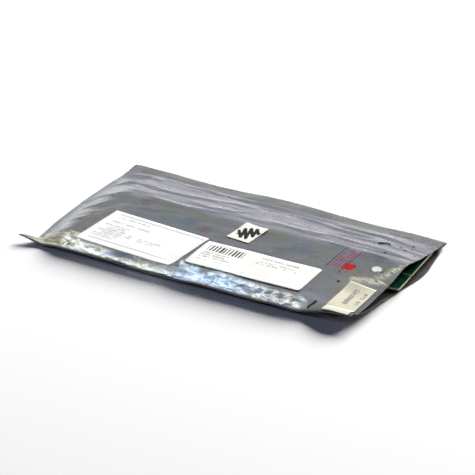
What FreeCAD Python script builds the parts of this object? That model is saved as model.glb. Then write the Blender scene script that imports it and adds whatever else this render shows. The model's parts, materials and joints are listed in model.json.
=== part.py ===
import FreeCAD, Part
import math
import os
from FreeCAD import Vector

# Stepper driver module, a plug-in circuit card stored in its static-shielding bag. Millimetres.
# Row frame: origin under the middle of the bag, on the floor; +X from the bag's closed end to
# its open mouth, +Y from front to back, +Z up.

# ---- Bag ----
bag_length = 254.0            # 10 inch bag
bag_width = 140.0             # 6 inch bag, drawn in by what it holds
film = 0.3                    # film thickness
board_overhang = 2.5          # how far the card's corner looks out of the mouth
closed_x = -(bag_length + board_overhang) / 2
mouth_x = closed_x + bag_length
front_y = -bag_width / 2
back_y = bag_width / 2
front_seam_y = front_y + 4.0
back_seam_y = back_y - 10.0
plateau_z = 12.4              # top film over the tall parts
closed_end_z = 1.2            # top film where it is folded at the closed end
closed_end_run = 28.0         # length over which the bag swells to its full height
mouth_run = 34.0              # length over which the bag narrows towards its mouth
fold_run = 12.0               # length over which the closed end's fold comes down to the floor
seam_gap = 0.02               # between the two films along their seams
label_gap = 0.1               # between a label and the film that it is stuck to

# Top film's outer height across the bag, as (y, z) from the front edge to the back edge.
MIDDLE_SECTION = [
    (front_y, 2.6), (front_seam_y, 4.8), (-62.5, 8.8), (-59.0, 11.9), (-50.0, plateau_z),
    (-20.0, plateau_z), (12.0, plateau_z), (22.0, 11.2), (35.0, 9.0), (47.0, 7.2),
    (55.5, 5.1), (back_seam_y, 3.6), (back_y, 3.2),
]
MOUTH_SECTION = [
    (front_y, 3.4), (front_seam_y, 4.8), (-62.5, 6.2), (-59.0, 7.4), (-50.0, 8.7),
    (-20.0, 11.4), (12.0, 11.9), (22.0, 11.0), (35.0, 9.0), (47.0, 7.2),
    (55.5, 5.1), (back_seam_y, 3.6), (back_y, 3.2),
]
floor_front_y = -59.0         # the bottom film lies on the floor between these two lines
floor_back_y = 51.0

# Labels, as (width, depth), turn in degrees, and the middle's place on the bag
contents_label = (78.0, 49.0), -3.6, (-53.5, -43.0)
barcode_label = (89.0, 36.0), 0.4, (34.9, -42.6)
marker_label = (18.5, 25.2), -6.0, (7.0, -1.5)
stock_label = (19.5, 42.0), -8.0, (108.6, -46.8)
stock_label_bends = 8         # creases across it, where it follows the film down to the front edge
dot_label_r = 4.0
dot_label_place = (109.5, -4.6)

# ---- Card ----
board_angle = 4.5             # the card lies a little askew in the bag, degrees
board_corner = Vector(-88.3, -61.6, 3.9)     # card's front left corner, on its component side
board_length = 220.0
board_width = 100.0
board_thickness = 1.6
tongue_front = 35.0           # the edge connector's tongue, measured across the card
tongue_depth = 14.0
tongue_x = board_length - tongue_depth
hole_r = 1.6                  # mounting holes for M3 screws
hole_inset = 5.0
body_end_x = tongue_x - hole_inset
MOUNTING_HOLES = [(hole_inset, hole_inset), (body_end_x, hole_inset),
                  (hole_inset, board_width - hole_inset), (body_end_x, board_width - hole_inset)]
finger_pitch = 3.96
finger_count = 15
key_slot_after = 5            # fingers in front of the keying slot
key_slot_width = 1.5
key_slot_depth = 9.0
first_finger = 4.0            # from the tongue's front edge to the middle of the first finger
finger_width = 2.0
finger_length = 11.0
finger_thickness = 0.15
edge_gap = 1.0                # from the tongue's end to the fingers, and the chamfer of its corners
through = 1.0                 # how far a drill passes the face that it leaves

# Heat sink and its power transistors
sink_x = 22.0
sink_length = 120.0
sink_front = 30.0
sink_fin_depth = 11.0
sink_back = 60.0
sink_base = 2.0
sink_height = 7.0
fin_count = 24
fin_thickness = 1.3
transistor_count = 6
transistor_pitch = 20.0
transistor_x = 32.0
tab_front = 41.6
tab_hole_r = 1.8
tab_hole_y = tab_front + 3.0
pad_thickness = 0.2
pad_size = (11.0, 16.4)
screw_r = 1.5                 # M3 screws, nuts and tapped holes
nut_height = 1.1
nut_across_flats = 5.5
TRANSISTORS = [transistor_x + transistor_pitch * i for i in range(transistor_count)]
SINK_SCREWS = [transistor_x + transistor_pitch * (i + 0.5) for i in (0, 2, 4)]
sink_screw_y = 51.0

# Screw terminals at the card's left end
pole_count = 6
pole_pitch = 5.0
terminal_x = 1.0
terminal_depth = 8.6
terminal_height = 7.0
terminal_screw_x = terminal_x + 4.6
terminal_screw_r = 1.5
POLES = [sink_front + pole_pitch * (i + 0.5) for i in range(pole_count)]

# Switch bank and trimmer
switch_count = 6
switch_pitch = 2.54
switch_x = 22.0
switch_y = 17.0
switch_travel = 1.6
switch_height = 3.4
trimmer_x = 48.0
trimmer_y = 20.5
trimmer_height = 3.0

nodes = {}


# ---- Small helpers ----
def box(x, y, z, dx, dy, dz):
    return Part.makeBox(dx, dy, dz, Vector(x, y, z))


def rod(x, y, z, r, length, axis=(0, 0, 1)):
    return Part.makeCylinder(r, length, Vector(x, y, z), Vector(*axis))


def group(shapes):
    return Part.makeCompound(list(shapes))


def fused(shapes):
    first, *others = shapes
    return first.fuse(others).removeSplitter()


def rounded(shape, radius, direction):
    """Round the straight edges of a block that run along a direction."""
    way = Vector(*direction)
    edges = [e for e in shape.Edges if abs(abs(e.tangentAt(e.FirstParameter).dot(way)) - 1) < 1e-6]
    return shape.makeFillet(radius, edges)


def add_to_card(name, shape):
    """Store a node that is drawn in card coordinates: x along the card from its left end,
    y across it from its front edge, z up from its component side."""
    shape = shape.copy()
    shape.rotate(Vector(0, 0, 0), Vector(0, 0, 1), board_angle)
    shape.translate(board_corner)
    nodes[name] = shape


# ---- Bag ----
def smooth(t):
    t = min(max(t, 0.0), 1.0)
    return t * t * (3 - 2 * t)


def section_height(section, y):
    """Height of a cross-section at y, on straight lines between the section's points."""
    last = len(section) - 1
    i = min(max((k for k in range(last) if section[k][0] <= y), default=0), last - 1)
    (y0, z0), (y1, z1) = section[i], section[i + 1]
    return z0 + (z1 - z0) * (y - y0) / (y1 - y0)


def top_height(x, y):
    """Outer height of the top film."""
    near_mouth = smooth((x - mouth_x + mouth_run) / mouth_run)
    full = section_height(MIDDLE_SECTION, y) * (1 - near_mouth)
    full += section_height(MOUTH_SECTION, y) * near_mouth
    swell = smooth((x - closed_x) / closed_end_run)
    return closed_end_z + (full - closed_end_z) * swell


def bottom_height(x, y):
    """Lower height of the bottom film: flat on the floor, rising to meet the top film at the seams."""
    if y < 0:
        rise = smooth((floor_front_y - y) / (floor_front_y - front_seam_y))
        edge_y = min(y, front_seam_y)
    else:
        rise = smooth((y - floor_back_y) / (back_seam_y - floor_back_y))
        edge_y = max(y, back_seam_y)
    joined = top_height(x, edge_y) - 2 * film - seam_gap
    closed = closed_end_z - 2 * film - seam_gap
    end_rise = 1 - smooth((x - closed_x) / fold_run)
    return joined * rise + closed * end_rise * (1 - rise)


def flat_or_split(a, b, c, d):
    """The faces of one grid cell: one face where its four corners lie in a plane, or else two."""
    normal = (b - a).cross(d - a)
    if abs((c - a).dot(normal)) < 1e-9 * normal.Length:
        corner_sets = [(a, b, c, d)]
    else:
        corner_sets = [(a, b, c), (a, c, d)]
    return [Part.Face(Part.makePolygon(list(corners) + [corners[0]])) for corners in corner_sets]


def sheet(height, xs, ys, turn=0.0, centre=(0.0, 0.0)):
    """A sheet one film thick over a grid of plan points, standing on height(x, y)."""
    c, s = math.cos(math.radians(turn)), math.sin(math.radians(turn))
    low = []
    for u in xs:
        plan = [(centre[0] + u * c - v * s, centre[1] + u * s + v * c) for v in ys]
        low.append([Vector(x, y, height(x, y)) for x, y in plan])
    high = [[p + Vector(0, 0, film) for p in row] for row in low]
    rows, columns = range(len(xs) - 1), range(len(ys) - 1)
    faces = []
    for grid in (low, high):
        for i in rows:
            for j in columns:
                faces += flat_or_split(grid[i][j], grid[i + 1][j], grid[i + 1][j + 1], grid[i][j + 1])
    for i in rows:
        for j in (0, len(ys) - 1):
            faces += flat_or_split(low[i][j], low[i + 1][j], high[i + 1][j], high[i][j])
    for j in columns:
        for i in (0, len(xs) - 1):
            faces += flat_or_split(low[i][j], low[i][j + 1], high[i][j + 1], high[i][j])
    shell = Part.makeShell(faces)
    shell.sewShape()
    solid = Part.makeSolid(shell)
    if solid.Volume < 0:
        solid.reverse()
    return solid


def make_bag():
    xs = [closed_x + closed_end_run * t for t in (0.0, 0.3, 0.6, 1.0)]
    xs += [mouth_x - mouth_run * t for t in (1.0, 0.5, 0.0)]
    ys = sorted({y for y, z in MIDDLE_SECTION} | {floor_back_y})
    nodes["bag_top_film"] = sheet(lambda x, y: top_height(x, y) - film, xs, ys)
    nodes["bag_bottom_film"] = sheet(bottom_height, xs, ys)


def make_labels():
    """The labels lie on the film. The two large ones run level past its front shoulder."""
    def level(x, y):
        return plateau_z + label_gap

    def sloping(x, y):
        around = [(x + dx, y + dy) for dx in (-6.0, 0.0, 6.0) for dy in (-3.0, 0.0, 3.0)]
        return max(top_height(*place) for place in around) + label_gap

    for name, label in (("label_contents", contents_label), ("label_barcode", barcode_label),
                        ("label_marker", marker_label)):
        (width, depth), turn, centre = label
        nodes[name] = sheet(level, [-width / 2, width / 2], [-depth / 2, depth / 2], turn, centre)
    (width, depth), turn, centre = stock_label
    across = [depth * (t / stock_label_bends - 0.5) for t in range(stock_label_bends + 1)]
    nodes["label_stock"] = sheet(sloping, [-width / 2, 0.0, width / 2], across, turn, centre)
    x, y = dot_label_place
    dot_z = max(top_height(x - dot_label_r, y), top_height(x, y + dot_label_r)) + label_gap
    nodes["label_dot"] = rod(x, y, dot_z, dot_label_r, film)


# ---- The card and its parts ----
def make_circuit_board():
    end_x, back = board_length, board_width
    outline = [(0, 0), (tongue_x, 0), (tongue_x, tongue_front), (end_x - edge_gap, tongue_front),
               (end_x, tongue_front + edge_gap), (end_x, back - edge_gap), (end_x - edge_gap, back),
               (0, back), (0, 0)]
    wire = Part.makePolygon([Vector(x, y, -board_thickness) for x, y in outline])
    board = Part.Face(wire).extrude(Vector(0, 0, board_thickness))
    drill_z, drill_length = -board_thickness - through, board_thickness + 2 * through
    sink_places = [(x, sink_screw_y) for x in SINK_SCREWS]
    drills = [rod(x, y, drill_z, hole_r, drill_length) for x, y in MOUNTING_HOLES + sink_places]
    key_y = tongue_front + first_finger + finger_pitch * (key_slot_after - 0.5)
    drills.append(box(end_x - key_slot_depth, key_y - key_slot_width / 2, drill_z,
                      key_slot_depth + through, key_slot_width, drill_length))
    add_to_card("circuit_board", board.cut(drills))
    finger_y = tongue_front + first_finger - finger_width / 2
    add_to_card("contact_fingers", group(
        box(end_x - edge_gap - finger_length, finger_y + finger_pitch * i,
            -board_thickness - finger_thickness, finger_length, finger_width, finger_thickness)
        for i in range(finger_count)))


def make_heat_sink():
    width = sink_back - sink_front
    base = box(sink_x, sink_front, 0, sink_length, width, sink_base)
    pitch = (sink_length - fin_thickness) / (fin_count - 1)
    sunk = 0.5                # the fins start inside the base
    fins = [box(sink_x + pitch * i, sink_front, sink_base - sunk, fin_thickness, sink_fin_depth,
                sink_height - sink_base + sunk) for i in range(fin_count)]
    sink = fused([base] + fins)
    drill_length = sink_base + 2 * through
    drills = [rod(x, sink_screw_y, -through, hole_r, drill_length) for x in SINK_SCREWS]
    drills += [rod(x, tab_hole_y, -through, screw_r, drill_length) for x in TRANSISTORS]
    add_to_card("heat_sink", sink.cut(drills))
    pad_width, pad_depth = pad_size
    pads = []
    for x in TRANSISTORS:
        pad = box(x - pad_width / 2, tab_front - 0.4, sink_base, pad_width, pad_depth, pad_thickness)
        pads.append(pad.cut(rod(x, tab_hole_y, sink_base - through, tab_hole_r, 2 * through)))
    add_to_card("thermal_pads", group(pads))
    head_r, head_height, shank_r = 2.75, 1.9, screw_r - 0.05
    add_to_card("heat_sink_screws", group(
        pan_screw(x, sink_screw_y, sink_base, head_r, head_height, shank_r,
                  sink_base + board_thickness + nut_height) for x in SINK_SCREWS))
    add_to_card("heat_sink_nuts", group(
        hex_nut(x, sink_screw_y, -board_thickness - nut_height, nut_across_flats, nut_height, screw_r)
        for x in SINK_SCREWS))


def pan_screw(x, y, z, head_r, head_height, shank_r, shank_length):
    """A cross-recessed screw with its head standing on height z."""
    head = rod(x, y, z, head_r, head_height)
    top = z + head_height
    head = head.makeFillet(0.6, [e for e in head.Edges if e.BoundBox.ZMin > top - 0.01
                                 and isinstance(e.Curve, Part.Circle)])
    reach, blade, depth = 0.54 * head_r, 0.6, 0.8
    recess = [box(x - reach, y - blade / 2, top - depth, 2 * reach, blade, 1),
              box(x - blade / 2, y - reach, top - depth, blade, 2 * reach, 1)]
    return fused([head, rod(x, y, z - shank_length, shank_r, shank_length)]).cut(recess)


def hex_nut(x, y, z, across_flats, height, bore_r):
    reach = across_flats / math.sqrt(3)
    corners = [Vector(x + reach * math.cos(math.radians(60 * i)),
                      y + reach * math.sin(math.radians(60 * i)), z) for i in range(7)]
    nut = Part.Face(Part.makePolygon(corners)).extrude(Vector(0, 0, height))
    return nut.cut(rod(x, y, z - 1, bore_r, height + 2))


def power_package(x, front, z):
    """A flat-lying power package: its moulded body, metal tab and three formed leads."""
    width, tab_length, tab_thickness = 10.0, 14.8, 1.3
    body_start, body_length, body_height = 6.4, 9.0, 3.2
    tab = rounded(box(x - width / 2, front, z, width, tab_length, tab_thickness), 0.8, (0, 0, 1))
    tab = tab.cut(rod(x, front + 3.0, z - through, tab_hole_r, 4))
    body = box(x - width / 2, front + body_start, z + tab_thickness, width, body_length, body_height)
    body_top = z + tab_thickness + body_height
    body = body.makeChamfer(0.7, [e for e in body.Edges if e.BoundBox.ZMin > body_top - 0.01])
    ejector_mark = rod(x, front + 9.2, body_top - 0.3, 0.9, 1.0)
    lead_pitch, lead_width, lead_thickness, lead_run = 2.54, 0.8, 0.5, 4.2
    lead_y, lead_z = front + body_start + body_length, z + 2.3
    leads = []
    for offset in (-lead_pitch, 0, lead_pitch):
        lead_x = x + offset - lead_width / 2
        run = box(lead_x, lead_y, lead_z, lead_width, lead_run, lead_thickness)
        drop = box(lead_x, lead_y + lead_run - lead_thickness, 0, lead_width, lead_thickness,
                   lead_z + lead_thickness)
        leads.append(fused([run, drop]))
    return body.cut(ejector_mark), tab, group(leads)


def make_power_stage():
    packages = [power_package(x, tab_front, sink_base + pad_thickness) for x in TRANSISTORS]
    add_to_card("transistor_bodies", group(p[0] for p in packages))
    add_to_card("transistor_tabs", group(p[1] for p in packages))
    add_to_card("transistor_leads", group(p[2] for p in packages))
    head_z = sink_base + pad_thickness + 1.3
    head_r, head_height, shank_r = 2.6, 1.8, 1.4
    add_to_card("transistor_screws", group(
        pan_screw(x, tab_hole_y, head_z, head_r, head_height, shank_r, head_z - 0.3)
        for x in TRANSISTORS))
    regulator_x, regulator_front = 197.0, 37.0
    body, tab, leads = power_package(regulator_x, regulator_front, 0.0)
    add_to_card("regulator_body", body)
    add_to_card("regulator_tab", tab)
    add_to_card("regulator_leads", leads)


def dual_in_line(x, y, pins, row=7.62, height=3.4):
    """A dual in-line package centred on (x, y): moulded body with a pin-one notch, and its legs."""
    pitch, standoff, leg_thickness = 2.54, 0.45, 0.3
    shoulder_width, shoulder_z, tip_width, tip_z = 1.4, 1.9, 0.5, 0.4
    length = pins / 2 * pitch + 0.8
    width = row - 1.3
    body = box(-length / 2, -width / 2, standoff, length, width, height)
    body = body.makeChamfer(0.35, [e for e in body.Edges if e.BoundBox.ZMin > height + standoff - 0.01])
    body = body.cut(rod(-length / 2, 0, height - 0.2, 1.1, 2))
    legs = []
    for i in range(pins // 2):
        pin_x = (i - (pins / 2 - 1) / 2) * pitch
        for side in (-1, 1):
            inner = side * width / 2
            outer = side * (row / 2 + 0.12)
            leg_y = outer - (leg_thickness if side > 0 else 0)
            arm = box(pin_x - shoulder_width / 2, min(inner, outer), shoulder_z, shoulder_width,
                      abs(outer - inner), leg_thickness)
            leg = box(pin_x - shoulder_width / 2, leg_y, tip_z, shoulder_width, leg_thickness,
                      shoulder_z + leg_thickness - tip_z)
            tip = box(pin_x - tip_width / 2, leg_y, 0, tip_width, leg_thickness, tip_z + 0.1)
            legs.append(fused([arm, leg, tip]))
    parts = [body, group(legs)]
    for part in parts:
        part.translate(Vector(x, y, 0))
    return parts


LOGIC_CHIPS = [(76.0, 17.0, 16), (101.0, 17.0, 16), (126.0, 17.0, 14), (151.0, 17.0, 16),
               (176.0, 17.0, 14)]
OPTOCOUPLERS = [(x, 72.0, 6) for x in (30.0, 41.0, 52.0, 63.0)]


def make_chips():
    controller = dual_in_line(158.0, 73.0, 40, row=15.24)
    logic = [dual_in_line(x, y, pins) for x, y, pins in LOGIC_CHIPS]
    couplers = [dual_in_line(x, y, pins) for x, y, pins in OPTOCOUPLERS]
    add_to_card("controller_chip", controller[0])
    add_to_card("controller_legs", controller[1])
    add_to_card("logic_chips", group(c[0] for c in logic))
    add_to_card("logic_chip_legs", group(c[1] for c in logic))
    add_to_card("optocouplers", group(c[0] for c in couplers))
    add_to_card("optocoupler_legs", group(c[1] for c in couplers))


def bent_lead(x, y, z, side, reach, wire_r):
    """A lead that leaves an axial part at (x, y, z), and bends square down to the board."""
    bend = 0.8
    corner = Vector(x + side * reach, y, z)
    start, end = Vector(x, y, z), Vector(corner.x, y, 0)
    arc_start, arc_end = corner - Vector(side * bend, 0, 0), corner - Vector(0, 0, bend)
    middle = corner + Vector(-side * bend, 0, -bend) + Vector(side * bend, 0, bend) * math.sqrt(0.5)
    path = Part.Wire([Part.makeLine(start, arc_start),
                      Part.Arc(arc_start, middle, arc_end).toShape(),
                      Part.makeLine(arc_end, end)])
    ring = Part.Wire([Part.makeCircle(wire_r, start, Vector(side, 0, 0))])
    return path.makePipeShell([ring], True, False)


def axial_leads(x0, x1, y, z, reach, wire_r=0.3):
    """Two leads out of an axial part's ends at x0 and x1."""
    return [bent_lead(x0, y, z, -1, reach, wire_r), bent_lead(x1, y, z, 1, reach, wire_r)]


def make_bulk_capacitors():
    radius, length, first_x, first_y, pitch = 3.25, 17.0, 149.0, 34.0, 7.4
    dent_r, dent_depth, disc_thickness, lead_r = 2.7, 0.5, 0.3, 0.35
    z = radius + 0.1
    end_x = first_x + length
    cans, ends, leads = [], [], []
    for y in [first_y + pitch * i for i in range(4)]:
        groove = Part.makeTorus(radius + 0.35, 0.7, Vector(first_x + 2.2, y, z), Vector(1, 0, 0))
        dents = [rod(first_x - 0.1, y, z, dent_r, dent_depth + 0.1, (1, 0, 0)),
                 rod(end_x - dent_depth, y, z, dent_r, dent_depth + 0.1, (1, 0, 0))]
        cans.append(rod(first_x, y, z, radius, length, (1, 0, 0)).cut([groove] + dents))
        ends += [rod(x, y, z, dent_r - 0.05, disc_thickness, (1, 0, 0))
                 for x in (first_x + dent_depth - disc_thickness, end_x - dent_depth)]
        leads += axial_leads(first_x + 0.2, end_x - 0.2, y, z, 2.4, lead_r)
    add_to_card("bulk_capacitors", group(cans))
    add_to_card("bulk_capacitor_ends", group(ends))
    add_to_card("bulk_capacitor_leads", group(leads))


def make_small_capacitors():
    film_x, film_size, standoff = 172.0, (7.2, 3.2, 6.4), 0.2
    add_to_card("film_capacitors", group(
        rounded(box(film_x, y, standoff, *film_size), 0.5, (0, 0, 1)) for y in (31.5, 36.0)))
    ceramic_y, ceramic_size, ceramic_standoff = 25.0, (4.4, 2.4, 3.3), 0.4
    beside_chips = [x for x, y, pins in LOGIC_CHIPS]
    add_to_card("ceramic_capacitors", group(
        rounded(box(x - ceramic_size[0] / 2, ceramic_y, ceramic_standoff, *ceramic_size), 1.1, (0, 0, 1))
        for x in beside_chips + [12.0, 60.0]))


def resistor(x, y, barrel_r, z):
    """A small axial resistor lying across the card, with its two leads."""
    cap_r, half_length, cap_length = barrel_r + 0.2, 3.1, 1.5
    barrel = rod(x, y - half_length + 0.5, z, barrel_r, 2 * half_length - 1, (0, 1, 0))
    caps = [rod(x, y - half_length, z, cap_r, cap_length, (0, 1, 0)),
            rod(x, y + half_length - cap_length, z, cap_r, cap_length, (0, 1, 0))]
    leads = axial_leads(-half_length, half_length, 0, z, 1.9)
    for lead in leads:
        lead.rotate(Vector(0, 0, 0), Vector(0, 0, 1), 90)
        lead.translate(Vector(x, y, 0))
    return fused([barrel] + caps), leads


def make_resistors():
    row_length, pitch, barrel_r, z = 12, 8.6, 0.95, 1.15
    row_starts = ((34.0, 86.0), (72.0, 6.5))
    resistors, leads = [], []
    for i in range(row_length):
        for start_x, y in row_starts:
            body, pair = resistor(start_x + pitch * i, y, barrel_r, z)
            resistors.append(body)
            leads += pair
    add_to_card("small_resistors", group(resistors))
    add_to_card("small_resistor_leads", group(leads))


def make_power_axials():
    """The three sense resistors and the eight flywheel diodes."""
    first_y, leads = 65.0, []
    sense_x, sense_length, sense_r, sense_z, sense_pitch = 84.0, 11.0, 1.85, 2.0, 5.4
    sense_resistors = []
    for y in [first_y + sense_pitch * i for i in range(3)]:
        sense_resistors.append(rod(sense_x, y, sense_z, sense_r, sense_length, (1, 0, 0)))
        leads += axial_leads(sense_x, sense_x + sense_length, y, sense_z, 2.0, 0.4)
    diode_columns, diode_length, diode_r, diode_z, diode_pitch = (104.5, 117.5), 5.2, 1.35, 1.6, 4.4
    diodes = []
    for y in [first_y + diode_pitch * i for i in range(4)]:
        for x in diode_columns:
            diodes.append(rod(x, y, diode_z, diode_r, diode_length, (1, 0, 0)))
            leads += axial_leads(x, x + diode_length, y, diode_z, 2.0)
    add_to_card("sense_resistors", group(sense_resistors))
    add_to_card("diodes", group(diodes))
    add_to_card("axial_part_leads", group(leads))


def make_choke():
    centre = Vector(180.5, 50.4, 3.0)
    core_r, bar_r, wire_r, turns = 6.2, 2.0, 0.35, 24
    loops = []
    for i in range(turns):
        a = 2 * math.pi * i / turns
        middle = centre + Vector(core_r * math.cos(a), core_r * math.sin(a), 0)
        loops.append(Part.makeTorus(bar_r + wire_r + 0.05, wire_r, middle,
                                    Vector(-math.sin(a), math.cos(a), 0)))
    add_to_card("choke_core", Part.makeTorus(core_r, bar_r, centre))
    add_to_card("choke_winding", group(loops))


def make_terminal_block():
    block = box(terminal_x, sink_front, 0, terminal_depth, pole_count * pole_pitch, terminal_height)
    top_edges = [e for e in block.Edges if e.BoundBox.ZMin > terminal_height - 0.01]
    block = block.makeChamfer(0.5, top_edges)
    chamber_z, chamber_width, chamber_height, chamber_depth = 1.0, 3.0, 3.2, 6.4
    bore_z = chamber_z + chamber_height - 0.3
    cuts = []
    for y in POLES:
        cuts.append(box(terminal_x - through, y - chamber_width / 2, chamber_z, chamber_depth + through,
                        chamber_width, chamber_height))
        cuts.append(rod(terminal_screw_x, y, bore_z, terminal_screw_r + 0.15, 4))
    add_to_card("terminal_block", block.cut(cuts))
    clamp_size = (5.0, 2.6, 0.4)
    add_to_card("terminal_clamps", group(
        box(terminal_x + 1.0, y - clamp_size[1] / 2, chamber_z, *clamp_size) for y in POLES))
    head_z, head_height, shank_r, shank_z = 4.7, 1.9, 0.95, 2.2
    slot_width, slot_depth = 0.5, 0.8
    for i, y in enumerate(POLES):
        head = rod(terminal_screw_x, y, head_z, terminal_screw_r, head_height)
        shank = rod(terminal_screw_x, y, shank_z, shank_r, head_z - shank_z + 0.1)
        slot = box(terminal_screw_x - 2, y - slot_width / 2, head_z + head_height - slot_depth,
                   4, slot_width, 1.2)
        add_to_card("terminal_screw_%d" % (i + 1), fused([head, shank]).cut(slot))


def make_switches():
    length, depth, standoff = switch_count * switch_pitch + 2.0, 8.0, 0.3
    slot_width, slot_depth, slot_length = 1.3, 1.5, 3.6
    slider_width, slider_length, slider_height, proud = 1.0, 1.6, 1.65, 0.3
    body = box(switch_x, switch_y - depth / 2, standoff, length, depth, switch_height - standoff)
    body = rounded(body, 0.4, (0, 0, 1))
    slider_top = switch_height + proud
    slots = []
    for i in range(switch_count):
        x = switch_x + 1.0 + switch_pitch * (i + 0.5)
        slots.append(box(x - slot_width / 2, switch_y - slot_length / 2, switch_height - slot_depth,
                         slot_width, slot_length, 2))
        slider = box(x - slider_width / 2, switch_y - switch_travel, slider_top - slider_height,
                     slider_width, slider_length, slider_height)
        slider = slider.makeChamfer(0.15, [e for e in slider.Edges
                                           if e.BoundBox.ZMin > slider_top - 0.01])
        add_to_card("switch_slider_%d" % (i + 1), slider)
    add_to_card("switch_body", body.cut(slots))


def make_trimmer():
    side, standoff, well_r, well_depth, rotor_r = 6.6, 0.2, 2.2, 0.9, 2.05
    body = box(trimmer_x - side / 2, trimmer_y - side / 2, standoff, side, side,
               trimmer_height - standoff)
    body = rounded(body, 0.4, (0, 0, 1))
    well = rod(trimmer_x, trimmer_y, trimmer_height - well_depth, well_r, 2)
    add_to_card("trimmer_body", body.cut(well))
    slot_length, slot_width, slot_depth = 3.0, 0.7, 0.6
    rotor = rod(trimmer_x, trimmer_y, trimmer_height - well_depth + 0.1, rotor_r, 1.0)
    rotor_top = trimmer_height - well_depth + 1.1
    slot = box(trimmer_x - slot_length / 2, trimmer_y - slot_width / 2, rotor_top - slot_depth,
               slot_length, slot_width, 1)
    add_to_card("trimmer_rotor", rotor.cut(slot))


def make_crystal():
    add_to_card("crystal_can", rounded(box(140.0, 86.0, 0.2, 11.0, 4.6, 2.0), 2.2, (0, 0, 1)))


def make_status_leds():
    bulb_r, rim_r, z = 1.5, 1.7, 1.9
    dome_x, bulb_x, rim_x, rim_depth = 0.9, 4.5, 5.1, 0.9
    leds = []
    for y in (66.0, 71.0, 76.0):
        bulb = rod(bulb_x, y, z, bulb_r, bulb_x - dome_x, (-1, 0, 0))
        rim = rod(rim_x, y, z, rim_r, rim_depth, (-1, 0, 0))
        leds.append(fused([bulb, rim, Part.makeSphere(bulb_r, Vector(dome_x, y, z))]))
    add_to_card("status_leds", group(leds))


make_bag()
make_labels()
make_circuit_board()
make_heat_sink()
make_power_stage()
make_chips()
make_bulk_capacitors()
make_small_capacitors()
make_resistors()
make_power_axials()
make_choke()
make_crystal()
make_status_leds()
make_terminal_block()
make_switches()
make_trimmer()

os.makedirs("parts", exist_ok=True)
for name, shape in nodes.items():
    shape.exportStep("parts/%s.step" % name)
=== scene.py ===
import json
import math
from functools import partialmethod

import bpy
import numpy as np
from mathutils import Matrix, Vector


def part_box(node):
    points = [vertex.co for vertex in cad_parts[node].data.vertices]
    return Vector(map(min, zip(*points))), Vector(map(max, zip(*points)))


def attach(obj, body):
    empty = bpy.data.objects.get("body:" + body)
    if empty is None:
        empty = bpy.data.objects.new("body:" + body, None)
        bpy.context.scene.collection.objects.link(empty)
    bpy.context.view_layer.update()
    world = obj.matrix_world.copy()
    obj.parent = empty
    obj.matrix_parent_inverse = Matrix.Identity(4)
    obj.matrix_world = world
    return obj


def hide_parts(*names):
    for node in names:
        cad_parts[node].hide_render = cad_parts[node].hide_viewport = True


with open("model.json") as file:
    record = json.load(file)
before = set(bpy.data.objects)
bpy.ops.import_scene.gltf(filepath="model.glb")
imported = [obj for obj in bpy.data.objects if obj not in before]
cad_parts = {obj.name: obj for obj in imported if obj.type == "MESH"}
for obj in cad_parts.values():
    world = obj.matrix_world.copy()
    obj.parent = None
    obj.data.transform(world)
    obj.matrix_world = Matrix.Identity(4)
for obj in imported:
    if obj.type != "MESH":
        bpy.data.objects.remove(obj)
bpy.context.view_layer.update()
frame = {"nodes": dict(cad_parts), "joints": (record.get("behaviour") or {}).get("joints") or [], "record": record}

MM = 0.001
rng = np.random.default_rng(7)

# ---- Places from the frame, in millimetres ----
bag_low, bag_high = (np.array(corner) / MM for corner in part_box("bag_top_film"))
closed_x, mouth_x = bag_low[0], bag_high[0]
front_y, back_y = bag_low[1], bag_high[1]

card_joint = next(j for j in frame["joints"] if j["child"] == "card")
card_turn = math.atan2(card_joint["axis"][1], card_joint["axis"][0])
board_low, board_high = (np.array(corner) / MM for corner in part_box("circuit_board"))
board_top = board_high[2]
board_bottom = board_low[2]
card_cos, card_sin = math.cos(card_turn), math.sin(card_turn)
board_width = ((board_high[1] - board_low[1]) - (board_high[0] - board_low[0]) * math.tan(card_turn)) \
    / (card_cos - card_sin * math.tan(card_turn))
board_corner = np.array([board_low[0] + board_width * card_sin, board_low[1]])


def to_card(x, y):
    """Row-frame millimetres to card millimetres: along the card from its left end, and across it."""
    dx, dy = x - board_corner[0], y - board_corner[1]
    return dx * card_cos + dy * card_sin, dy * card_cos - dx * card_sin


def from_card(x, y):
    return (board_corner[0] + x * card_cos - y * card_sin,
            board_corner[1] + x * card_sin + y * card_cos)


# ---- Camera, lights and floor ----
def look():
    """The camera, from in front of the bag and to its left."""
    azimuth, elevation, distance = math.radians(29.65), math.radians(26.96), 2.0
    camera = bpy.data.objects.new("camera", bpy.data.cameras.new("camera"))
    bpy.context.scene.collection.objects.link(camera)
    back = Vector((math.sin(azimuth) * math.cos(elevation), -math.cos(azimuth) * math.cos(elevation),
                   math.sin(elevation)))
    camera.location = back * distance
    camera.rotation_euler = back.to_track_quat("Z", "Y").to_euler()
    camera.data.sensor_width = 36.0
    camera.data.lens = 217.25
    camera.data.shift_x = -0.0069
    camera.data.shift_y = 0.0174
    camera.data.clip_end = 50
    bpy.context.scene.camera = camera


def area_light(name, toward, distance, size, power, colour, in_reflections=True):
    light = bpy.data.lights.new(name, "AREA")
    light.shape = "RECTANGLE"
    light.size, light.size_y = size
    light.energy = power
    light.color = colour
    holder = bpy.data.objects.new(name, light)
    holder.location = Vector(toward).normalized() * distance
    holder.rotation_euler = Vector(toward).to_track_quat("Z", "Y").to_euler()
    holder.visible_glossy = in_reflections
    bpy.context.scene.collection.objects.link(holder)


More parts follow.
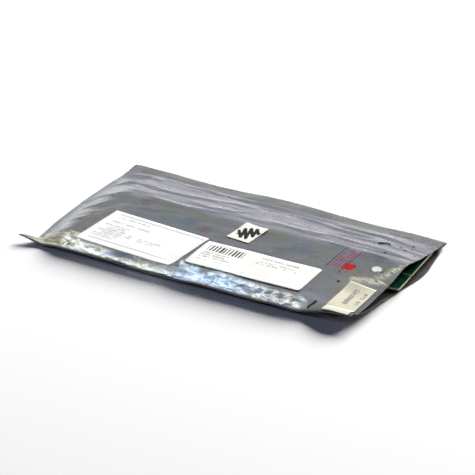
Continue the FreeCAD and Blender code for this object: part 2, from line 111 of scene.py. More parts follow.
def sky():
    """What the glossy surfaces reflect: bright low down and overhead, and grey between."""
    world = bpy.data.worlds.new("studio")
    bpy.context.scene.world = world
    world.use_nodes = True
    shader = world.node_tree.nodes["Background"]
    b = Build(world.node_tree)
    height = b.split(b.nodes.new("ShaderNodeTexCoord").outputs["Generated"])[2]
    greys = [(0.0, 0.74), (0.14, 0.76), (0.30, 0.54), (0.44, 0.33), (0.58, 0.38), (0.74, 0.74),
             (0.90, 0.90)]
    b.feed(shader.inputs["Color"], b.ramp(height, [(h, (v, v, v * 1.04)) for h, v in greys]))
    shader.inputs["Strength"].default_value = 1.0
    world.cycles_visibility.diffuse = False


def studio():
    scene = bpy.context.scene
    scene.view_settings.view_transform = "Standard"
    sky()
    area_light("back_key", (0.06, 1.0, 0.45), 3.0, (2.4, 1.3), 296, (1.0, 0.985, 0.96),
               in_reflections=False)
    area_light("front_fill", (-0.44, -0.55, 0.71), 2.6, (1.1, 1.1), 6.5, (0.55, 0.66, 1.0))

    side = 4.0
    mesh = bpy.data.meshes.new("floor")
    corners = [(-side, -side, 0), (side, -side, 0), (side, side, 0), (-side, side, 0)]
    mesh.from_pydata(corners, [], [(0, 1, 2, 3)])
    floor = bpy.data.objects.new("floor", mesh)
    floor.location.z = -0.0002
    scene.collection.objects.link(floor)
    surface, shader, _ = new_material("floor_white")
    shader.inputs["Base Color"].default_value = (0.93, 0.93, 0.94, 1)
    shader.inputs["Roughness"].default_value = 0.9
    shader.inputs["Specular IOR Level"].default_value = 0.2
    mesh.materials.append(surface)


# ---- Node helpers ----
def new_material(name):
    """A material, its Principled shader and a builder of nodes in it."""
    surface = bpy.data.materials.new(name)
    surface.use_nodes = True
    tree = surface.node_tree
    return surface, tree.nodes["Principled BSDF"], Build(tree)


class Build:
    """Short calls for the nodes of one material. Each returns an output socket."""

    def __init__(self, tree):
        self.nodes, self.links = tree.nodes, tree.links

    def feed(self, socket, value):
        if isinstance(value, bpy.types.NodeSocket):
            self.links.new(value, socket)
        else:
            socket.default_value = value

    def fed(self, kind, values, operation=None, output=0):
        """A new node's output, with values for its first inputs."""
        node = self.nodes.new("ShaderNode" + kind)
        if operation:
            node.operation = operation
        for socket, value in zip(node.inputs, values):
            self.feed(socket, value)
        return node.outputs[output]

    def math(self, operation, *values):
        return self.fed("Math", values, operation)

    times = partialmethod(math, "MULTIPLY")
    plus = partialmethod(math, "ADD")
    minus = partialmethod(math, "SUBTRACT")
    over = partialmethod(math, "DIVIDE")
    floor = partialmethod(math, "FLOOR")
    fract = partialmethod(math, "FRACT")
    less = partialmethod(math, "LESS_THAN")
    more = partialmethod(math, "GREATER_THAN")
    larger = partialmethod(math, "MAXIMUM")
    times_plus = partialmethod(math, "MULTIPLY_ADD")

    def vector(self, operation, *values):
        return self.fed("VectorMath", values, operation)

    def join(self, x=0.0, y=0.0, z=0.0):
        return self.fed("CombineXYZ", (x, y, z))

    def split(self, vector):
        node = self.nodes.new("ShaderNodeSeparateXYZ")
        self.feed(node.inputs[0], vector)
        return node.outputs

    def place(self):
        return self.nodes.new("ShaderNodeTexCoord").outputs["Object"]

    def plan(self):
        """A place on a flat sheet, in its own millimetres: x, y and both as a vector."""
        node = self.nodes.new("ShaderNodeAttribute")
        node.attribute_name = "plan_mm"
        x, y, _ = self.split(node.outputs["Vector"])
        return x, y, self.join(x, y)

    def noise(self, vector, scale, detail=3.0, rough=0.55, distortion=0.0):
        node = self.nodes.new("ShaderNodeTexNoise")
        self.feed(node.inputs["Vector"], vector)
        node.inputs["Scale"].default_value = scale
        node.inputs["Detail"].default_value = detail
        node.inputs["Roughness"].default_value = rough
        node.inputs["Distortion"].default_value = distortion
        return node.outputs["Fac"]

    def random(self, vector):
        return self.fed("TexWhiteNoise", (vector,), output="Value")

    def ramp(self, factor, stops, mode="LINEAR"):
        node = self.nodes.new("ShaderNodeValToRGB")
        self.feed(node.inputs[0], factor)
        ramp = node.color_ramp
        ramp.interpolation = mode
        while len(ramp.elements) < len(stops):
            ramp.elements.new(0.5)
        for element, (position, colour) in zip(ramp.elements, stops):
            element.position = position
            element.color = tuple(colour) + (1,) * (4 - len(colour))
        return node.outputs[0]

    def span(self, value, low, high, to_low=0.0, to_high=1.0):
        return self.fed("MapRange", (value, low, high, to_low, to_high))

    def mix(self, factor, first, second, blend="MIX"):
        node = self.nodes.new("ShaderNodeMix")
        node.data_type = "RGBA"
        node.blend_type = blend
        self.feed(node.inputs[0], factor)
        for socket, value in ((node.inputs[6], first), (node.inputs[7], second)):
            self.feed(socket, value if isinstance(value, bpy.types.NodeSocket) else tuple(value) + (1,))
        return node.outputs[2]

    def bump(self, height, strength, distance, under=None):
        node = self.nodes.new("ShaderNodeBump")
        node.inputs["Strength"].default_value = strength
        node.inputs["Distance"].default_value = distance
        self.feed(node.inputs["Height"], height)
        if under is not None:
            self.links.new(under, node.inputs["Normal"])
        return node.outputs[0]

    def inside(self, value, low, high):
        """1 where low < value < high, or else 0."""
        return self.times(self.more(value, low), self.less(value, high))

    def rectangle(self, x, y, low, high):
        return self.times(self.inside(x, low[0], high[0]), self.inside(y, low[1], high[1]))

    def spot(self, x, y, centre, radius):
        return self.less(self.distance(x, y, centre), radius)

    def distance(self, x, y, centre):
        dx, dy = self.minus(x, centre[0]), self.minus(y, centre[1])
        return self.math("SQRT", self.plus(self.times(dx, dx), self.times(dy, dy)))

    def cloud(self, x, y, centre, reach, most):
        """A soft ragged patch: most at its middle, 0 beyond its reach."""
        uneven = self.noise(self.join(x, y, reach), 0.12, 4, 0.65)
        ragged = self.times_plus(uneven, reach * 1.2, self.distance(x, y, centre))
        return self.span(ragged, reach * 1.5, reach * 0.7, 0.0, most)

    def off_line(self, x, y, start, end):
        """How far a place is from the line from start to end."""
        run = (end[0] - start[0], end[1] - start[1])
        square = run[0] ** 2 + run[1] ** 2
        dx, dy = self.minus(x, start[0]), self.minus(y, start[1])
        along = self.plus(self.times(dx, run[0] / square), self.times(dy, run[1] / square))
        along = self.math("MINIMUM", self.larger(along, 0.0), 1.0)
        off_x = self.times_plus(along, -run[0], dx)
        off_y = self.times_plus(along, -run[1], dy)
        return self.distance(off_x, off_y, (0.0, 0.0))

    def stroke(self, x, y, start, end, radius):
        """1 within radius of the line from start to end, or else 0."""
        return self.less(self.off_line(x, y, start, end), radius)

    def any_of(self, masks):
        total = masks[0]
        for mask in masks[1:]:
            total = self.larger(total, mask)
        return total

    def blocks(self, x, y, *blocks):
        """Where any block of print has ink. Each block has what rows_of_marks needs after x and y."""
        return self.any_of([self.rows_of_marks(x, y, *block) for block in blocks])

    def rows_of_marks(self, x, y, low, high, pitch, mark, seed, fill, ragged, whole=0.68):
        """Rows of small random marks that read as unreadable print, inside a rectangle."""
        up = self.over(self.minus(y, low[1]), pitch)
        row = self.floor(up)
        within_row = self.inside(self.fract(up), 0.2, 0.78)
        column = self.floor(self.over(x, mark))
        word = self.floor(self.over(x, mark * 5.3))
        filled = self.less(self.random(self.join(column, row, seed)), fill)
        apart = self.less(self.fract(self.over(x, mark)), 0.8)
        words = self.less(self.random(self.join(word, row, seed + 3.0)), 0.86)
        fine = self.random(self.join(self.floor(self.over(x, mark * 0.42)),
                                     self.floor(self.over(y, pitch * 0.2)), seed + 5.0))
        broken = self.less(fine, whole)
        end = self.times_plus(self.random(self.join(row, seed, 9.0)), -ragged * (high[0] - low[0]), high[0])
        shown = self.less(x, end)
        mask = self.rectangle(x, y, low, high)
        for part in (within_row, filled, apart, words, broken, shown):
            mask = self.times(mask, part)
        return mask


# ---- Mesh helpers ----
def new_piece(name, points, faces, surface, body, smooth):
    mesh = bpy.data.meshes.new(name)
    mesh.from_pydata([tuple(p) for p in np.asarray(points) * MM], [], faces)
    mesh.update()
    if smooth:
        mesh.polygons.foreach_set("use_smooth", [True] * len(mesh.polygons))
    mesh.materials.append(surface)
    piece = bpy.data.objects.new(name, mesh)
    bpy.context.scene.collection.objects.link(piece)
    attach(piece, body)
    return piece


def grid_normals(points):
    along = np.gradient(points, axis=0)
    across = np.gradient(points, axis=1)
    normals = np.cross(along, across)
    return normals / np.linalg.norm(normals, axis=2, keepdims=True)


def thin_shell(name, upper, thickness, surface, plan):
    """A closed sheet on the bag from grids of x, y and z on its upper side. The grids of x and y in
    plan are kept on it, for its print."""
    points = np.stack(upper, axis=-1)
    rows, columns = points.shape[:2]
    lower = points - grid_normals(points) * thickness
    corners = np.concatenate([points.reshape(-1, 3), lower.reshape(-1, 3)])
    index = np.arange(rows * columns).reshape(rows, columns)
    a, b, c, d = index[:-1, :-1], index[1:, :-1], index[1:, 1:], index[:-1, 1:]
    upper_faces = np.stack([a, b, c, d], axis=-1).reshape(-1, 4)
    lower_faces = upper_faces[:, ::-1] + rows * columns
    rim = np.concatenate([index[:, 0], index[-1, 1:], index[-2::-1, -1], index[0, -2:0:-1]])
    following = np.roll(rim, -1)
    rim_faces = np.stack([following, rim, rim + rows * columns, following + rows * columns], axis=-1)
    faces = np.concatenate([upper_faces, lower_faces, rim_faces])
    piece = new_piece(name, corners, faces.tolist(), surface, "bag", True)
    store = piece.data.attributes.new("plan_mm", "FLOAT_VECTOR", "POINT")
    flat = np.concatenate([np.stack(plan, axis=-1).reshape(-1, 2)] * 2)
    store.data.foreach_set("vector", np.column_stack([flat, np.zeros(len(flat))]).ravel())
    return piece


def ease(t):
    t = np.clip(t, 0.0, 1.0)
    return t * t * (3 - 2 * t)


def curve_through(keys, at):
    """Values on a smooth curve through (place, value) keys, without overshoot."""
    places, values = (np.array(column, float) for column in zip(*keys))
    steps, rises = np.diff(places), np.diff(values)
    slopes = rises / steps
    tangents = np.zeros(len(values))
    both = slopes[:-1] * slopes[1:]
    tangents[1:-1] = np.where(both > 0, 2 * both / np.where(both > 0, slopes[:-1] + slopes[1:], 1), 0)
    tangents[0], tangents[-1] = slopes[0], slopes[-1]
    at = np.clip(at, places[0], places[-1])
    i = np.clip(np.searchsorted(places, at, side="right") - 1, 0, len(steps) - 1)
    t, run = (at - places[i]) / steps[i], steps[i]
    return (values[i] * (1 + 2 * t) * (1 - t) ** 2 + values[i + 1] * t * t * (3 - 2 * t)
            + run * (tangents[i] * t * (1 - t) ** 2 - tangents[i + 1] * t * t * (1 - t)))


# ---- The bag's shape, in millimetres ----
# Heights of the top film across the bag, in its middle and at its mouth; how far its two seams and
# its closed end stand off the floor; and how far the lower film lifts at the mouth
MIDDLE = [(front_y, 2.4), (-68.0, 3.0), (-66.4, 4.6), (-63.4, 8.8), (-60.2, 11.5), (-56.0, 12.3),
          (-30.0, 12.4), (8.0, 12.35), (20.0, 11.1), (35.0, 8.6), (47.0, 6.4), (56.5, 4.5),
          (60.5, 3.3), (back_y, 2.8)]
MOUTH = [(front_y, 5.4), (-66.0, 6.4), (-60.0, 7.0), (-45.0, 7.9), (-26.0, 8.6), (-13.0, 9.4), (0.0, 11.2),
         (8.0, 11.9), (13.0, 11.6), (21.0, 9.6), (38.0, 6.2), (52.0, 4.4), (60.5, 3.2), (back_y, 2.8)]
FRONT_EDGE_LIFT = [(-125.0, 0.6), (-101.0, 0.7), (-63.0, 0.3), (-37.0, -0.8), (-13.0, -0.5), (9.0, 0.8),
                   (33.0, 0.5), (51.0, 0.4), (64.0, 1.0), (80.0, 0.6), (92.0, 1.4), (101.0, 2.4),
                   (113.0, 3.4), (125.0, 3.4)]
BACK_EDGE_LIFT = [(-127.0, 0.6), (-106.0, 1.3), (-82.0, 0.5), (-60.0, 0.0), (-40.0, 0.3), (-16.0, 1.6),
                  (4.0, 1.9), (42.0, 0.6), (71.0, 0.0), (98.0, 0.7), (126.0, 0.1)]
CLOSED_EDGE = [(front_y, 1.2), (-56.0, 1.6), (-36.0, 3.6), (0.0, 4.6), (34.0, 4.0), (58.0, 2.0),
               (back_y, 1.2)]
LIP_LIFT = [(-66, 7.2), (-45, 4.6), (-26, 2.6), (-12, 0.6), (0, 0)]
film = 0.22
front_fold_y = -63.0       # where the front wall meets the flange; the grids are denser there
ear_reach, ear_length, ear_rise = 9.0, 10.5, 3.8
mouth_edge_run = 14.0

# The labels: width and depth, turn in degrees, and the middle's place on the bag
LABELS = {
    "contents": ((79.0, 49.5), -4.4, (-53.0, -45.3)),
    "barcode": ((89.0, 35.0), 0.4, (34.0, -43.3)),
    "marker": ((18.5, 25.2), -6.0, (7.0, -2.6)),
    "stock": ((19.8, 41.0), -1.0, (110.6, -48.6)),
    "dot": ((7.8, 7.8), 0.0, (109.0, -5.2)),
}


def near_mouth(x, run=38.0):
    return ease((x - mouth_x + run) / run)


def towards_mouth(x, y):
    """How far the section has changed to the mouth's. Its front wall is gone first."""
    in_front = ease((-18.0 - y) / 22.0)
    return near_mouth(x) * (1 - in_front) + ease((x - mouth_x + 46.0) / 28.0) * in_front


def film_height(x, y):
    """The top film's smooth height, before its creases."""
    blend = towards_mouth(x, y)
    full = curve_through(MIDDLE, y) * (1 - blend) + curve_through(MOUTH, y) * blend
    front_flange = ease((-60.0 - y) / 8.0)
    back_flange = ease((y - 52.0) / 12.0)
    full = full + curve_through(FRONT_EDGE_LIFT, x) * front_flange
    full = full + curve_through(BACK_EDGE_LIFT, x) * back_flange
    swell = ease((x - closed_x + 2) / (27.0 + 9.0 * ease(y / 60.0)))
    # the back corner of the closed end curls up off the floor
    curl = 3.0 * ease(1 - np.hypot((x - closed_x) / 30.0, (y - back_y) / 24.0))
    edge = curve_through(CLOSED_EDGE, y)
    return edge + (full - edge) * swell + curl


def card_ceiling(x, y):
    """The height that the film has to clear over the card's parts."""
    u, v = to_card(x, y)
    over_board = (u > -1) & (u < 221) & (v > -1) & (v < 101) & ((u < 207) | (v > 34))
    over_parts = (u > 1) & (u < 200) & (v > 3) & (v < 92)
    over_tall = (u > 0) & (u < 204) & (v > 29) & (v < 61)
    ceiling = np.where(over_board, board_top + 0.35, 0.0)
    ceiling = np.where(over_parts, np.where(v > 83.5, board_top + 2.7, board_top + 4.15), ceiling)
    return np.where(over_tall, board_top + 7.3, ceiling)


def patchy(x, y, table):
    """Smooth noise from 0 to 1, with one value of a table in each unit square."""
    i, j = np.floor(x).astype(int), np.floor(y).astype(int)
    s, t = ease(x - i), ease(y - j)

    def corner(a, b):
        return table[(i + a) % len(table), (j + b) % len(table)]

    near = corner(0, 0) * (1 - s) + corner(1, 0) * s
    far = corner(0, 1) * (1 - s) + corner(1, 1) * s
    return near * (1 - t) + far * t


def crumpled(x, y, size, longer, octaves):
    """Sharp ridges between facets, about size mm across and so many times longer along the bag.
    From about -0.5 to 0.5."""
    total = np.zeros(x.shape)
    reach, weight, weights = size, 1.0, 0.0
    for octave in range(octaves):
        turn = 0.35 if octave % 2 else -0.35
        u = (x * math.cos(turn) + y * math.sin(turn)) / (reach * longer)
        v = (y * math.cos(turn) - x * math.sin(turn)) / reach
        total += weight * (1 - np.abs(2 * patchy(u, v, rng.random((61, 61))) - 1))
        weights += weight
        reach, weight = reach / 1.9, weight * 0.5
    return total / weights - 0.5


def fold(x, y, path, width, height):
    """A ridge along a path of plan points, or a groove where height is negative. It fades at both
    ends, and it is steeper in front than behind."""
    nearest = np.full(x.shape, np.inf)
    along, behind = np.zeros(x.shape), np.zeros(x.shape, bool)
    travelled = 0.0
    for (x0, y0), (x1, y1) in zip(path[:-1], path[1:]):
        length = math.hypot(x1 - x0, y1 - y0)
        c, s = (x1 - x0) / length, (y1 - y0) / length
        t = np.clip((x - x0) * c + (y - y0) * s, 0, length)
        dx, dy = x - x0 - t * c, y - y0 - t * s
        closer = np.hypot(dx, dy) < nearest
        nearest = np.where(closer, np.hypot(dx, dy), nearest)
        along = np.where(closer, travelled + t, along)
        behind = np.where(closer, dy * c - dx * s > 0, behind)
        travelled += length
    ends = ease(along / (0.3 * travelled)) * ease((travelled - along) / (0.3 * travelled))
    return height * ends * np.exp(-(nearest / (width * np.where(behind, 1.4, 0.7))) ** 2)


def scattered_folds(x, y, count, x_range, y_range, angles, lengths, widths, heights):
    total = np.zeros_like(x)
    for _ in range(count):
        x0, y0 = rng.uniform(*x_range), rng.uniform(*y_range)
        angle, length = math.radians(rng.uniform(*angles)), rng.uniform(*lengths)
        bend = rng.uniform(-0.06, 0.06) * length
        c, s = math.cos(angle), math.sin(angle)
        path = [(x0 - c * length / 2, y0 - s * length / 2), (x0 - s * bend, y0 + c * bend),
                (x0 + c * length / 2, y0 + s * length / 2)]
        sign = 1 if rng.random() < 0.65 else -1
        total += fold(x, y, path, rng.uniform(*widths), sign * rng.uniform(*heights))
    return total


# The folds that the card and the bag's corners pull into the film: path, width, height
FOLDS = [
    ([(-126, 5), (-106, 5), (-95, 19)], 2.6, 0.7),
    ([(-125, 30), (-110, 38), (-97, 41)], 2.6, 0.7),
    ([(-124, -42), (-106, -38), (-95, -16), (-85, 0)], 2.4, 0.8),
    ([(-124, -20), (-110, -15), (-98, 0)], 2.6, 0.7),
    ([(-126, 52), (-108, 56), (-90, 50)], 2.6, 0.7),
    ([(-98, 17), (-81, 15), (-53, 12), (-36, 15), (-16, 22)], 2.8, 0.8),
    ([(-62, 24), (-38, 22), (-18, 27), (-6, 37)], 2.4, 0.6),
    ([(-4, 25), (10, 24), (38, 23), (62, 27)], 2.4, 0.7),
    ([(-92, 32), (-60, 34), (-30, 42), (0, 45)], 2.4, 0.6),
    ([(6, 50), (33, 47), (61, 42), (93, 45)], 2.2, 0.7),
    ([(50, 34), (84, 36), (108, 42)], 2.2, 0.6),
    ([(-70, 50), (-24, 53), (24, 53), (60, 55), (90, 53)], 1.3, -0.7),
]
CORNER_CRUMPLES = [[(101.5, -24), (111, -20), (121.5, -17)], [(115, -13), (121, -3), (125, 9)]]


def label_cover(x, y):
    """1 under a label, where the film is held flat, fading to 0 around it."""
    cover = np.zeros_like(x)
    for (width, depth), turn, centre in LABELS.values():
        c, s = math.cos(math.radians(turn)), math.sin(math.radians(turn))
        u = (x - centre[0]) * c + (y - centre[1]) * s
        v = (y - centre[1]) * c - (x - centre[0]) * s
        inside = np.minimum(width / 2 - np.abs(u), depth / 2 - np.abs(v))
        cover = np.maximum(cover, ease((inside + 2.5) / 3.0))
    return cover


def front_band(x, y):
    """Where the front wall is crumpled, from the closed end to the card's last tall part."""
    top = -58.0 - 3.0 * ease((x - 30) / 12)
    return ease((top - y) / 2.0) * ease((y + 69.6) / 1.4) * ease((88.0 - x) / 8.0)


def film_creases(x, y):
    total = sum(fold(x, y, *one) for one in FOLDS)
    scattered = [  # on the back slope, by the closed end and on the top: counts, then ranges
        (46, (-100, 116), (12, 56), (-7, 4), (30, 120), (1.1, 2.6), (0.12, 0.42)),
        (12, (-122, -95), (-50, 56), (10, 50), (14, 34), (1.0, 2.2), (0.1, 0.35)),
        (26, (-80, 110), (-50, 12), (-30, 25), (25, 70), (1.8, 4.0), (0.05, 0.16))]
    for count, *ranges in scattered:
        total = total + scattered_folds(x, y, count, *ranges)
    total += 0.22 * crumpled(x, y, 17.0, 2.4, 2)
    band = front_band(x, y)
    total += band * 2.6 * crumpled(x, y, 7.0, 2.9, 2)
    rough = 0.7 + 1.6 * crumpled(x, y, 5.5, 1.6, 2)
    total += sum(fold(x, y, path, 4.2, 1.0) for path in CORNER_CRUMPLES) * rough
    for path in CORNER_CRUMPLES:
        for step, height in ((-2.4, 0.45), (-0.4, -0.5), (1.5, 0.5)):
            total += fold(x, y, [(px + 0.5 * step, py + step) for px, py in path], 0.8, height)
    total += fold(x, y, [(89, -67), (93, -61)], 1.0, -1.2)
    return total * (1 - label_cover(x, y) * (1 - 0.5 * band))


def stretched(values, low, high, denser_at, strength):
    """Grid stations from low to high, closer together near one place."""
    t = np.linspace(0, 1, 2001)
    places = low + (high - low) * t
    density = 1 + strength * np.exp(-((places - denser_at) / 9.0) ** 2)
    total = np.cumsum(density)
    total = (total - total[0]) / (total[-1] - total[0])
    return np.interp(np.linspace(0, 1, values), total, places)


def with_ear(x, y, z):
    """Draws the front corner of the closed end out into a pointed ear, off the floor."""
    pull = ease(1 - np.hypot((x - closed_x) / ear_reach, (y - front_y) / ear_reach))
    return x - ear_length * pull, z + ear_rise * pull


def make_top_film(surface):
    xs = np.linspace(closed_x, mouth_x, 318)
    ys = stretched(154, front_y, back_y, front_fold_y, 2.6)
    x, y = np.meshgrid(xs, ys, indexing="ij")
    flanges = 1 - 0.75 * np.maximum(ease((-68.3 - y) / 1.5), ease((y - 59.5) / 2))
    z = film_height(x, y) + film_creases(x, y) * flanges
    z = np.maximum(z, np.maximum(card_ceiling(x, y) + film, bottom_height(x, y) + 2 * film))
    plan = x, y
    x, z = with_ear(x, y, z)
    # the back corner is drawn in a little
    x = x + 3.2 * ease(1 - np.hypot((x - closed_x) / 16.0, (y - back_y) / 14.0))
    # the mouth's edge draws back where the film rises over the card
    edge = ease((x - mouth_x + mouth_edge_run) / mouth_edge_run)
    x = x - edge * (1.2 + 1.6 * ease((-48 - y) / 20))
    y = y + edge * 1.2 * ease((-50 - y) / 20)
    piece = thin_shell("bag_film_top", (x, y, z), film, surface, plan)
    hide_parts("bag_top_film")


def bottom_height(x, y):
    """The bottom film's upper side: flat on the floor, and up to the top film at the seams."""
    front = ease((-58.5 - y) / 7.5)
    back = ease((y - 53.0) / 8.0)
    join = np.maximum(front, back)
    edge = film_height(x, y) - film - 0.05
    lifted = near_mouth(x, 24.0) * np.clip(curve_through(LIP_LIFT, y), 0, 8)
    u, v = to_card(x, y)
    under_card = (u < 222) & (v > -2) & (v < 102) & ((u < 207.5) | (v > 33))
    flat = film + np.where(under_card, 0.0, 1.0) * lifted
    closed = (curve_through(CLOSED_EDGE, y) - film - 0.1) * (1 - ease((x - closed_x) / 12))
    return np.maximum(flat * (1 - join) + edge * join, np.maximum(closed, film))


def make_bottom_film(surface):
    xs = np.linspace(closed_x, mouth_x, 220)
    ys = stretched(110, front_y, back_y, front_fold_y, 2.0)
    x, y = np.meshgrid(xs, ys, indexing="ij")
    z = bottom_height(x, y)
    ripple = scattered_folds(x, y, 14, (90, 126), (-50, 50), (-70, 70), (14, 40), (1.5, 3.5), (0.1, 0.4))
    z = z + np.abs(ripple) * near_mouth(x, 14.0) * (z < 1.0)
    plan = x, y
    x, z = with_ear(x, y, z)
    edge = ease((x - mouth_x + mouth_edge_run) / mouth_edge_run)
    lip = 5.5 * np.exp(-((y - 22) / 26) ** 2)
    x = x + edge * (lip - 2.8 * ease((-48 - y) / 20))
    y = y + edge * 1.2 * ease((-50 - y) / 20)
    piece = thin_shell("bag_film_bottom", (x, y, z), film * 0.9, surface, plan)
    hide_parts("bag_bottom_film")


# ---- Film material ----
# The crinkled wall's colours: tints of the film; the pale and cream ones are painted highlight, and SHADE is
# painted shade in the creases.
CREAM, PALE_HIGHLIGHT, MINT, ICE, OLIVE, SHADE = (
    (0.84, 0.80, 0.50), (0.93, 0.93, 0.84), (0.50, 0.62, 0.55), (0.58, 0.78, 0.91), (0.44, 0.44, 0.31),
    (0.20, 0.22, 0.24))
# Dark specks: place and radius. Nicks, slits painted black as the shade inside them: both ends and radius
SPECKS = [(110.5, 47.9, 1.1), (111.9, 42.6, 0.9), (101.6, 21.6, 1.1), (104.7, 40.0, 1.0),
          (109.3, 37.0, 0.9), (93.8, -32.0, 1.2)]
NICKS = [((90.4, 35.6), (95.6, 39.8), 1.5), ((93.2, 41.6), (97.0, 38.0), 0.8),
         ((89.5, -66.5), (92.5, -61.5), 0.9)]
# Coloured clouds in the film: middle, reach and colour
CLOUDS = [
    ((-22, -12), 9, (0.24, 0.15, 0.15)), ((-38, -7), 11, (0.13, 0.22, 0.30)),
    ((26, 4), 16, (0.26, 0.28, 0.18)), ((52, -4), 12, (0.17, 0.23, 0.30)),
    ((96, -22), 13, (0.32, 0.29, 0.24)), ((-104, -22), 12, (0.30, 0.28, 0.19)),
    ((-62, 6), 13, (0.22, 0.27, 0.20)), ((84, -34), 10, (0.24, 0.28, 0.30)),
    ((-112, 14), 14, (0.26, 0.27, 0.24)), ((103, 12), 17, (0.15, 0.19, 0.20)),
    ((70, 16), 12, (0.20, 0.24, 0.27)), ((0, 12), 10, (0.36, 0.38, 0.37)),
    ((40, -14), 9, (0.19, 0.23, 0.21)), ((100, -40), 9, (0.31, 0.27, 0.22)),
    ((-80, 8), 9, (0.22, 0.20, 0.19)), ((-20, 34), 12, (0.30, 0.34, 0.33)),
    ((44, 40), 12, (0.42, 0.42, 0.48))]


def film_colours(b, x, y, flat):
    """The metallised film's colours: grey with green, blue, lilac and brown clouds, with painted sheen on the back
    slope and the closed end, and painted shade on the front flange.
    """
    long_way = b.vector("MULTIPLY", flat, (0.42, 1.0, 1.0))
    hue = b.noise(long_way, 0.06, 5, 0.66, 1.0)
    colour = b.ramp(hue, [(0.32, (0.19, 0.28, 0.27)), (0.42, (0.23, 0.25, 0.28)),
                          (0.50, (0.30, 0.30, 0.33)), (0.58, (0.21, 0.27, 0.22)),
                          (0.68, (0.33, 0.28, 0.25))])
    # Behind y = 9 the colour turns a lighter lilac: the film's lilac tint with painted sheen, where the back
    # slope's wrinkles catch the light.
    lilac_and_painted_sheen = b.ramp(b.noise(b.vector("MULTIPLY", flat, (0.14, 1.0, 1.0)), 0.15, 5, 0.62), [
        (0.30, (0.24, 0.28, 0.28)), (0.45, (0.37, 0.37, 0.42)), (0.60, (0.44, 0.43, 0.51)),
        (0.75, (0.34, 0.37, 0.37))])
    colour = b.mix(b.span(y, 9, 17, 0.2, 0.9), colour, lilac_and_painted_sheen)
    for centre, reach, tint in CLOUDS:
        colour = b.mix(b.cloud(x, y, centre, reach, 0.75), colour, tint)
    # The closed end's slope is painted lighter grey: painted sheen, where the slope catches the light.
    colour = b.mix(b.span(x, -104, -120, 0.0, 0.55), colour, (0.44, 0.47, 0.50))
    back_seam = b.ramp(b.noise(long_way, 0.12, 3), [(0.35, (0.27, 0.30, 0.28)), (0.6, (0.42, 0.43, 0.40))])
    colour = b.mix(b.span(y, 58.5, 61, 0.0, 0.8), colour, back_seam)
    # The front flange is painted near black: painted shade, where it faces down into its own shadow.
    return b.mix(b.span(y, -68.2, -69.2), colour, (0.075, 0.07, 0.085))


def film_crumple(b, x, y, flat):
    """How far the film is crumpled, and the colours painted there: thin-film tints with painted highlight and
    painted shade in the streaks.
    """
    wall = b.times(b.span(y, -57.0, -59.5), b.span(y, -69.2, -68.2))
    wall = b.times(wall, b.span(x, 88, 82))
    low = b.minus(1.0, b.times(b.span(x, 24, 36), b.span(y, -63.0, -61.0)))
    patches = b.span(b.noise(b.vector("MULTIPLY", flat, (0.4, 1.2, 1)), 0.10, 4, 0.7, 1.0), 0.34, 0.48)
    amount = b.times(b.times(wall, low), patches)
    uneven = b.noise(flat, 0.5, 3, 0.7)
    for path in CORNER_CRUMPLES:
        near = b.times_plus(uneven, 4.5, b.off_line(x, y, path[0], path[2]))
        amount = b.larger(amount, b.span(near, 6.4, 3.6))
    streaks = b.noise(b.vector("MULTIPLY", flat, (0.22, 1.0, 1)), 0.26, 4, 0.66, 0.9)
    warm = b.ramp(streaks, [(0.34, SHADE), (0.39, OLIVE), (0.44, CREAM), (0.52, PALE_HIGHLIGHT),
                            (0.58, CREAM), (0.68, OLIVE)])
    cool = b.ramp(streaks, [(0.36, SHADE), (0.42, MINT), (0.47, ICE), (0.52, PALE_HIGHLIGHT),
                            (0.57, ICE), (0.66, SHADE)])
    mixed = b.ramp(streaks, [(0.40, SHADE), (0.45, OLIVE), (0.49, PALE_HIGHLIGHT), (0.53, CREAM),
                             (0.58, OLIVE), (0.63, SHADE)])
    colour = b.mix(b.span(x, -30, -6), warm, cool)
    return amount, b.mix(b.span(x, 34, 44), colour, mixed)


def film_print(b, x, y, colour):
    """A caution block in red, between two rules, with a red square: marks only, and nothing to read.
    Returns the colour, and where there's ink."""
    rules = b.any_of([b.rectangle(x, y, (76.4, -19), (77.3, 12.4)),
                      b.rectangle(x, y, (88.6, -23), (89.5, 12.2))])
    colour = b.mix(b.times(rules, 0.85), colour, (0.10, 0.03, 0.09))
    turned = b.times(x, -1.0)
    rows = b.blocks(y, turned,
                    ((-16, -88.2), (12.2, -78.0), 2.55, 1.5, 31.0, 0.98, 0.12, 0.92),
                    ((2, -93.0), (13.0, -89.8), 2.4, 1.4, 32.0, 0.9, 0.2, 0.85))
    colour = b.mix(b.times(rows, 0.92), colour, (0.24, 0.008, 0.10))
    square = b.larger(b.math("ABSOLUTE", b.minus(x, 91.4)),
                      b.times(b.math("ABSOLUTE", b.plus(y, 12.2)), 0.9))
    ragged = b.times_plus(b.noise(b.join(x, y, 3.0), 0.42, 4, 0.7), 5.0, square)
    square = b.less(ragged, 6.3)
    red = b.ramp(b.noise(b.join(x, y, 1.0), 0.6, 3, 0.6),
                 [(0.40, (0.24, 0.002, 0.004)), (0.56, (0.50, 0.003, 0.005))])
    return b.mix(square, colour, red), b.larger(square, rows)


